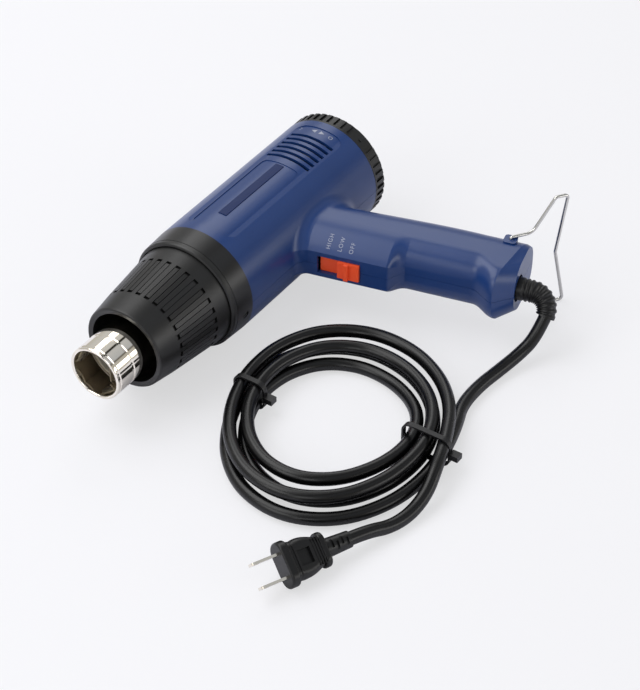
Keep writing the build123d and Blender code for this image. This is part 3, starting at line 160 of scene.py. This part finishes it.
def light_of(hex_colour):
    """Linear colour of an sRGB hex value: each share is divided by 12.92 where it is small, and else
    the share plus 0.055, over 1.055, is raised to the power 2.4."""
    shares = np.array([int(hex_colour[i:i + 2], 16) for i in (1, 3, 5)]) / 255
    linear = np.where(shares <= 0.04045, shares / 12.92, ((shares + 0.055) / 1.055) ** 2.4)
    return (*[float(share) for share in linear], 1.0)


def add_node(tree, kind, settings=None, **sockets):
    """Adds a node of a kind, with its settings and the values or links of its sockets."""
    node = tree.nodes.new(kind)
    for name, value in (settings or {}).items():
        setattr(node, name, value)
    for name, value in sockets.items():
        key = int(name[1:]) if name[1:].isdigit() else name.replace("_", " ")
        socket = node.inputs[key]
        if isinstance(value, bpy.types.NodeSocket):
            tree.links.new(value, socket)
        else:
            socket.default_value = value
    return node


def new_material(name):
    """An empty material with its output and its shader, ready for a graph."""
    material = bpy.data.materials.new(name)
    material.use_nodes = True
    tree = material.node_tree
    tree.nodes.clear()
    shader = add_node(tree, "ShaderNodeBsdfPrincipled")
    add_node(tree, "ShaderNodeOutputMaterial", Surface=shader.outputs["BSDF"])
    return material, tree, shader


def grain_bump(tree, shader, size_mm, height_mm, strength, detail=2.0):
    """Fine grain: noise as many times a metre as grains fit in it, turned into a bump."""
    place = add_node(tree, "ShaderNodeTexCoord")
    noise = add_node(tree, "ShaderNodeTexNoise", Vector=place.outputs["Object"], Scale=1000.0 / size_mm,
                     Detail=detail, Roughness=0.6)
    bump = add_node(tree, "ShaderNodeBump", Height=noise.outputs["Fac"], Distance=height_mm * mm,
                    Strength=strength)
    tree.links.new(bump.outputs["Normal"], shader.inputs["Normal"])
    return place, noise


def moulded_plastic(name, dark, light, roughness, grain, strength, ior=1.5, patch=18.0):
    """Moulded plastic: two near colours in soft patches, a roughness that varies a little, fine grain."""
    material, tree, shader = new_material(name)
    place, grains = grain_bump(tree, shader, grain, 0.05, strength)
    patches = add_node(tree, "ShaderNodeTexNoise", Vector=place.outputs["Object"], Scale=1000.0 / patch,
                       Detail=3.0)
    colour = add_node(tree, "ShaderNodeMix", {"data_type": "RGBA"}, Factor=patches.outputs["Fac"],
                      i6=light_of(dark), i7=light_of(light))
    rough = add_node(tree, "ShaderNodeMapRange", Value=patches.outputs["Fac"], To_Min=roughness - 0.04,
                     To_Max=roughness + 0.04)
    tree.links.new(colour.outputs[2], shader.inputs["Base Color"])
    tree.links.new(rough.outputs["Result"], shader.inputs["Roughness"])
    shader.inputs["IOR"].default_value = ior
    return material


def plain_metal(name, colour, roughness, wear=0.04, streak=4.0):
    """Metal: its own colour as reflection, and a roughness that wanders between smooth and wiped."""
    material, tree, shader = new_material(name)
    place = add_node(tree, "ShaderNodeTexCoord")
    wipes = add_node(tree, "ShaderNodeTexNoise", Vector=place.outputs["Object"], Scale=1000.0 / streak,
                     Detail=4.0)
    rough = add_node(tree, "ShaderNodeMapRange", Value=wipes.outputs["Fac"], To_Min=roughness,
                     To_Max=roughness + wear)
    tree.links.new(rough.outputs["Result"], shader.inputs["Roughness"])
    shader.inputs["Base Color"].default_value = light_of(colour)
    shader.inputs["Metallic"].default_value = 1.0
    return material


def give(material, *names):
    """Puts one material on CAD nodes or new pieces, by name."""
    for name in names:
        piece = bpy.data.objects[name]
        piece.data.materials.clear()
        piece.data.materials.append(material)


# %% [markdown]
# The housing is ABS, a tough plastic, injected into a steel mould with a very fine spark-eroded
# texture. That gives a satin blue: lamps show as soft wide bands, never as sharp spots.

# %% Blue ABS of the housing
blue_abs = moulded_plastic("moulded_blue_abs", "#163469", "#193870", 0.3, 0.35, 0.1)
give(blue_abs, "housing_upper", "housing_lower")
stripe_abs = moulded_plastic("smooth_dark_blue_inlay", "#122450", "#152856", 0.3, 0.6, 0.05, ior=1.2)
give(stripe_abs, "badge_strip")

# %% [markdown]
# The nose, the guard and the dial are glass-filled nylon, which stands the heat of the outlet. The
# glass makes it a dull satin black with a slightly coarser grain.

# %% Black nylon
collar_nylon = moulded_plastic("satin_black_nylon", "#0f0f10", "#141415", 0.32, 0.4, 0.12)
give(collar_nylon, "nose_collar", "motor_end_cap", "cord_clamp", "switch_body", "inlet_grille", "shutter_disc")
guard_nylon = moulded_plastic("glass_filled_black_nylon", "#0f0f0f", "#151515", 0.38, 0.5, 0.2)
give(guard_nylon, "heat_guard", "air_dial")

# %% [markdown]
# The outlet tube is drawn steel with bright chrome, a little warm from use. A polished metal shows
# nothing but what is round it, so its look is made by the lamps and the pale table.

# %% Metals
outlet_chrome = plain_metal("polished_chrome", "#f1ebdf", 0.04, 0.05)
give(outlet_chrome, "nozzle_tube")
bail_steel = plain_metal("bright_spring_steel", "#c9c8c4", 0.16)
give(bail_steel, "bail_wire")
zinc_steel = plain_metal("zinc_plated_steel", "#b8b8b4", 0.32)
give(zinc_steel, "motor_can", "motor_shaft", "dial_screw", "housing_screws", "clamp_screws", "thermal_cutoff",
     "rotor_core")
black_oxide = plain_metal("black_oxide_steel", "#4a4a46", 0.38)
give(black_oxide, "collar_screws")
nickel = plain_metal("nickel_plated_brass", "#f0eadc", 0.14)
give(nickel, "plug_blades")
brass = plain_metal("plain_brass", "#c9a25c", 0.3)
give(brass, "switch_contacts", "switch_terminals", "motor_bushes")
heat_wire = plain_metal("oxidised_heating_wire", "#8a8582", 0.4)
give(heat_wire, "heating_coil")
ferrite = moulded_plastic("sintered_ferrite", "#2a2a2d", "#313134", 0.6, 0.3, 0.3)
give(ferrite, "motor_magnets")

# %% [markdown]
# Mica sheets carry the heating wire, because mica is one of few insulators that stay stiff when they
# glow. The plates look brown and dull. The sleeve round them is rolled of thin mica paper, which is
# silvery.

# %% Mica and small inner parts
mica = moulded_plastic("pressed_mica", "#6d6355", "#857a68", 0.55, 0.8, 0.3, patch=3.0)
give(mica, "heater_former", "heater_flange")
mica_paper = moulded_plastic("silvery_mica_paper", "#b5afa0", "#cbc5b6", 0.4, 0.8, 0.2, patch=4.0)
give(mica_paper, "insulating_sleeve")
duct_plastic = moulded_plastic("grey_moulded_plastic", "#3a3b3e", "#424347", 0.45, 0.5, 0.15)
give(duct_plastic, "fan_duct", "impeller")
board_green = moulded_plastic("printed_board", "#1d5a30", "#24663a", 0.35, 0.5, 0.1)
give(board_green, "rectifier_board")
give(collar_nylon, "rectifier_parts")
silicone = moulded_plastic("silicone_sleeve", "#8d8d8b", "#979795", 0.5, 0.5, 0.1)
give(silicone, "inner_leads")

# %% [markdown]
# The switch is the one bright piece. It is dyed through, glossier than the housing, and its orange red
# turns deeper where the light comes through less.

# %% Red switch
switch_red = moulded_plastic("moulded_orange_red_abs", "#ee4f27", "#f25a30", 0.3, 0.4, 0.08)
give(switch_red, "switch_slider")

# %% [markdown]
# The cord, its strain relief, the ties and the plug are PVC with a rubber-like satin. The jacket shows
# broad dull highlights and very faint ripples from the machine that drew it.

# %% Black PVC
jacket = moulded_plastic("satin_pvc_jacket", "#060607", "#0a0a0b", 0.28, 1.2, 0.12, ior=1.42, patch=9.0)
cord_curve.materials.append(jacket)
give(jacket, "cord_inner_end")
moulded_pvc = moulded_plastic("moulded_black_pvc", "#09090a", "#0f0f10", 0.34, 0.6, 0.2, ior=1.42)
give(moulded_pvc, "strain_relief", "plug_body", "plug_strain_relief")
tie_black = moulded_plastic("black_tie", "#08080a", "#0d0d0f", 0.45, 0.5, 0.2)
give(tie_black, "tie_right", "tie_left")

# %% [markdown]
# The marks are pad-printed in grey-white ink: the three words beside the switch and four signs over
# the dial. Ink lies on the plastic a few hundredths of a millimetre thick. Text is made flat, turned
# into a mesh, and then bent over the switch block's bowed side or round the barrel.

# %% Printed marks
ink_lift = 0.04
lean = radians(13.5)
grip_axis = np.array([[np.cos(lean), -np.sin(lean), 0], [np.sin(lean), np.cos(lean), 0], [0, 0, 1]])
grip_root = np.array([68.2, 0, 0])
ink, ink_tree, ink_shader = new_material("grey_white_printing_ink")
ink_shader.inputs["Base Color"].default_value = light_of("#9a9fae")
ink_shader.inputs["Roughness"].default_value = 0.5


def flat_text(words, height, spread):
    """Vertices and faces of words as flat shapes, with capitals of a height and their start at zero."""
    curve = bpy.data.curves.new("text", "FONT")
    curve.body = words
    curve.size = height / 0.73
    curve.space_character = spread
    holder = bpy.data.objects.new("text", curve)
    bpy.context.scene.collection.objects.link(holder)
    bpy.context.view_layer.update()
    mesh = bpy.data.meshes.new_from_object(holder)
    bpy.data.objects.remove(holder)
    flat = np.empty(len(mesh.vertices) * 3)
    mesh.vertices.foreach_get("co", flat)
    return flat.reshape(-1, 3), [tuple(face.vertices) for face in mesh.polygons]


def new_piece(name, points, faces, material, smooth=False):
    """A piece from points in millimetres and faces, riding on the tool."""
    mesh = bpy.data.meshes.new(name)
    mesh.from_pydata((np.asarray(points) * mm).tolist(), [], faces)
    mesh.polygons.foreach_set("use_smooth", [smooth] * len(mesh.polygons))
    mesh.materials.append(material)
    piece = bpy.data.objects.new(name, mesh)
    bpy.context.scene.collection.objects.link(piece)
    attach(piece, "tool")
    return piece


side_centre = np.array([-7.0, -13.89])
side_radius = 31.39
side_run = 22.0
side_start = np.arcsin(side_run / side_radius)
word_start = 3.0
word_height = 2.55
word_places = (("HIGH", 46.3), ("LOW", 53.3), ("OFF", 60.1))


def on_switch_block(flat, start, down):
    """Flat words on the block's bowed side: the angle falls from the lower edge's by the distance over the
    side's radius, and the tops of the letters point to the barrel."""
    angle = side_start - (start + flat[:, 0]) / side_radius
    lifted = side_radius + ink_lift
    local = np.stack([side_centre[0] - lifted * np.sin(angle), flat[:, 1] - down,
                      side_centre[1] + lifted * np.cos(angle)], axis=-1)
    return local @ grip_axis.T + grip_root + tool_zero


for word, down in word_places:
    shape, word_faces = flat_text(word, word_height, 1.25)
    new_piece("mark_" + word.lower(), on_switch_block(shape, word_start, down), word_faces, ink)


def on_barrel(flat, middle, turn, radius):
    """Flat signs bent round the barrel: sideways is the angle from straight down the handle over the top,
    and upwards is along the barrel's axis."""
    angle = np.radians(turn) + flat[:, 0] / radius
    lifted = radius + ink_lift
    return np.stack([middle + flat[:, 1], -lifted * np.cos(angle), lifted * np.sin(angle)],
                    axis=-1) + tool_zero


sign_row = 117.6
sign_radius = 34.5
sign_height = 2.7
arrow_reach = 1.6
for name, sign, turn in (("closed", "C", 112.0), ("open", "O", 76.0)):
    shape, sign_faces = flat_text(sign, sign_height, 1.0)
    shape[:, :2] -= (shape[:, :2].max(0) + shape[:, :2].min(0)) / 2
    new_piece("mark_" + name, on_barrel(shape, sign_row, turn, sign_radius), sign_faces, ink)
for name, side, turn in (("arrow_closed", 1, 95.5), ("arrow_open", -1, 86.0)):
    steps = np.linspace(0, 1, 7)
    upper = np.stack([side * (2 * steps - 1) * arrow_reach, arrow_reach * (1 - steps), 0 * steps], axis=-1)
    lower = upper * np.array([1, -1, 1])
    shape = np.concatenate([upper, lower])
    arrow_faces = [(i, i + 1, i + 8, i + 7) for i in range(6)]
    new_piece("mark_" + name, on_barrel(shape, sign_row, turn, sign_radius), arrow_faces, ink)
print("marks made")

# %% [markdown]
# The table is a seamless pale sheet. Photographs of goods are evened out until the sheet is almost
# white, so a large share of an even light is mixed in where the camera sees it, and the rest keeps the
# soft shadow under the tool.

# %% Table
table_size = 8.0
lit_share = 0.36
paper, paper_tree, paper_shader = new_material("matt_pale_paper")
paper_shader.inputs["Base Color"].default_value = light_of("#ececf5")
paper_shader.inputs["Roughness"].default_value = 0.9
even = add_node(paper_tree, "ShaderNodeEmission", Color=light_of("#f8f8f8"), Strength=1.0)
ray = add_node(paper_tree, "ShaderNodeLightPath")
evenness = add_node(paper_tree, "ShaderNodeMath", {"operation": "MULTIPLY"}, i0=ray.outputs["Is Camera Ray"],
                    i1=1.0 - lit_share)
mixed = add_node(paper_tree, "ShaderNodeMixShader", i0=evenness.outputs[0], i1=paper_shader.outputs["BSDF"],
                 i2=even.outputs["Emission"])
paper_output = next(node for node in paper_tree.nodes if node.type == "OUTPUT_MATERIAL")
paper_tree.links.new(mixed.outputs["Shader"], paper_output.inputs["Surface"])
table_mesh = bpy.data.meshes.new("table_sheet")
side = table_size / 2
table_mesh.from_pydata([(-side, -side, 0), (side, -side, 0), (side, side, 0), (-side, side, 0)], [],
                       [(0, 1, 2, 3)])
table_mesh.materials.append(paper)
table = bpy.data.objects.new("table_sheet", table_mesh)
bpy.context.scene.collection.objects.link(table)

# %% [markdown]
# The light is a plain studio: a wide box overhead, one behind whose gleam lies on the upper faces, one
# at the left, a small one before the nozzle and a low strip from the front. On satin plastic a box
# shows as a soft band.

# %% Lamps


def soft_box(name, place, aim, width, height, power):
    """A rectangular lamp at a place in metres, turned to a point."""
    lamp = bpy.data.lights.new(name, "AREA")
    lamp.shape = "RECTANGLE"
    lamp.size = width
    lamp.size_y = height
    lamp.energy = power
    holder = bpy.data.objects.new(name, lamp)
    bpy.context.scene.collection.objects.link(holder)
    holder.location = place
    holder.rotation_euler = (Vector(place) - Vector(aim)).to_track_quat("Z", "Y").to_euler()


lamps = (("overhead_box", (-0.15, 0.75, 1.25), (0.0, 0.0, 0.0), 1.3, 0.9, 11.0),
         ("back_box", (1.05, 0.72, 1.1), (0.0, 0.0, 0.0), 0.7, 0.7, 3.2),
         ("left_box", (-1.3, 0.5, 0.9), (-0.05, 0.0, 0.05), 0.8, 0.8, 5.5),
         ("nozzle_box", (-1.2, -0.35, 0.55), (-0.12, 0.06, 0.035), 0.5, 0.5, 1.6),
         ("front_strip", (0.3, -1.3, 0.35), (0.0, 0.0, 0.04), 1.4, 0.35, 4.0))
for lamp_values in lamps:
    soft_box(*lamp_values)

# %% [markdown]
# The room is a ramp of pale panels and dark gaps over the angle about the barrel. The chrome outlet
# mirrors it as white fields between dark lines.

# %% Room
panel_steps = ((0.01, "#f2efe8"), (0.16, "#ffffff"), (0.29, "#ffffff"), (0.31, "#2c2a27"), (0.34, "#2c2a27"),
               (0.36, "#ffffff"), (0.5, "#ffffff"), (0.52, "#3a3631"), (0.55, "#3a3631"), (0.57, "#f4f6fa"),
               (0.76, "#e4e8ef"), (0.79, "#6b635a"), (0.82, "#e9e6df"), (0.99, "#f2efe8"))
world = bpy.data.worlds.new("room")
bpy.context.scene.world = world
world.use_nodes = True
world.node_tree.nodes.clear()
room_tree = world.node_tree
looking = add_node(room_tree, "ShaderNodeTexCoord")
parts = add_node(room_tree, "ShaderNodeSeparateXYZ", i0=looking.outputs["Generated"])
turn = add_node(room_tree, "ShaderNodeMath", {"operation": "ARCTAN2"}, i0=parts.outputs["Z"],
                i1=parts.outputs["Y"])
share = add_node(room_tree, "ShaderNodeMapRange", Value=turn.outputs[0], From_Min=0.0, From_Max=np.pi)
panels = add_node(room_tree, "ShaderNodeValToRGB", Fac=share.outputs["Result"])
ramp = panels.color_ramp
for place, colour in panel_steps:
    ramp.elements.new(place).color = light_of(colour)
ramp.elements.remove(ramp.elements[0])
ramp.elements.remove(ramp.elements[-1])
room = add_node(room_tree, "ShaderNodeBackground", Color=panels.outputs["Color"], Strength=0.6)
add_node(world.node_tree, "ShaderNodeOutputWorld", Surface=room.outputs["Background"])
bpy.context.scene.view_settings.view_transform = "Standard"
